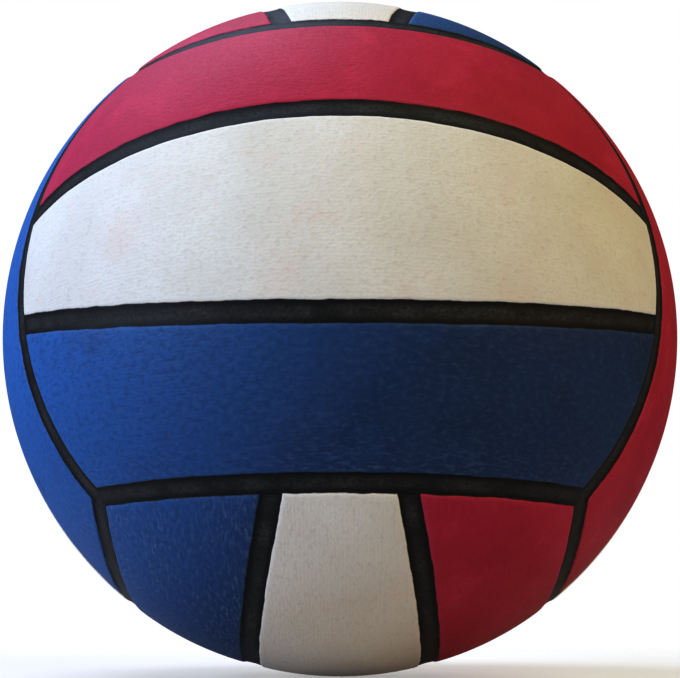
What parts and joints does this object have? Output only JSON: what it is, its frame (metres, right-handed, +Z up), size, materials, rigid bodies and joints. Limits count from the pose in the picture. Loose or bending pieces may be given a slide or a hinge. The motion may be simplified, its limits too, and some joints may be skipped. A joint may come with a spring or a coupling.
{
  "type": "water polo ball",
  "caption": "Round wound-rubber water polo ball: coloured cover panels in groups of strips, recessed black seams and a needle valve with a replaceable core.",
  "frame": {"origin": "centre of the ball", "axes": "+Z up as pictured; the pictured group of panels, with its strips along X, faces -Y; the valve's axis points out along +Y"},
  "size_m": [0.22, 0.2198, 0.22],
  "materials": {
    "red_rubber": "matt, fine grip grain",
    "white_rubber": "matt, fine grip grain",
    "blue_rubber": "matt, fine grip grain",
    "seam_rubber": "satin",
    "carcass_rubber": "matt",
    "nylon_thread": "wound thread",
    "bladder_rubber": "smooth",
    "valve_rubber": "smooth moulded",
    "core_rubber": "smooth moulded"
  },
  "bodies": {
    "ball": {"front_red_panel": "red_rubber", "front_white_panel": "white_rubber", "front_blue_panel": "blue_rubber", "top_red_panel": "red_rubber", "top_white_panel": "white_rubber", "top_blue_panel": "blue_rubber", "left_red_panel": "red_rubber", "left_white_panel": "white_rubber", "left_blue_panel": "blue_rubber", "back_red_panel": "red_rubber", "back_white_panel": "white_rubber", "back_blue_panel": "blue_rubber", "bottom_red_panel": "red_rubber", "bottom_white_panel": "white_rubber", "bottom_blue_panel": "blue_rubber", "right_red_panel": "red_rubber", "right_white_panel": "white_rubber", "right_blue_panel": "blue_rubber", "front_red_seam": "seam_rubber", "front_red_edge_seam": "seam_rubber", "front_blue_seam": "seam_rubber", "front_blue_edge_seam": "seam_rubber", "top_red_seam": "seam_rubber", "top_red_edge_seam": "seam_rubber", "top_blue_seam": "seam_rubber", "top_blue_edge_seam": "seam_rubber", "left_red_seam": "seam_rubber", "left_red_edge_seam": "seam_rubber", "left_blue_seam": "seam_rubber", "left_blue_edge_seam": "seam_rubber", "back_red_seam": "seam_rubber", "back_red_edge_seam": "seam_rubber", "back_blue_seam": "seam_rubber", "back_blue_edge_seam": "seam_rubber", "bottom_red_seam": "seam_rubber", "bottom_red_edge_seam": "seam_rubber", "bottom_blue_seam": "seam_rubber", "bottom_blue_edge_seam": "seam_rubber", "right_red_seam": "seam_rubber", "right_red_edge_seam": "seam_rubber", "right_blue_seam": "seam_rubber", "right_blue_edge_seam": "seam_rubber", "carcass": "carcass_rubber", "nylon_winding": "nylon_thread", "bladder": "bladder_rubber", "valve_boot": "valve_rubber"},
    "valve_core": {"valve_core": "core_rubber"}
  },
  "joints": [
    {"name": "valve_core_pull", "type": "slide", "parent": "ball", "child": "valve_core", "axis": [0, 1, 0], "range_m": [0, 0.02]}
  ]
}
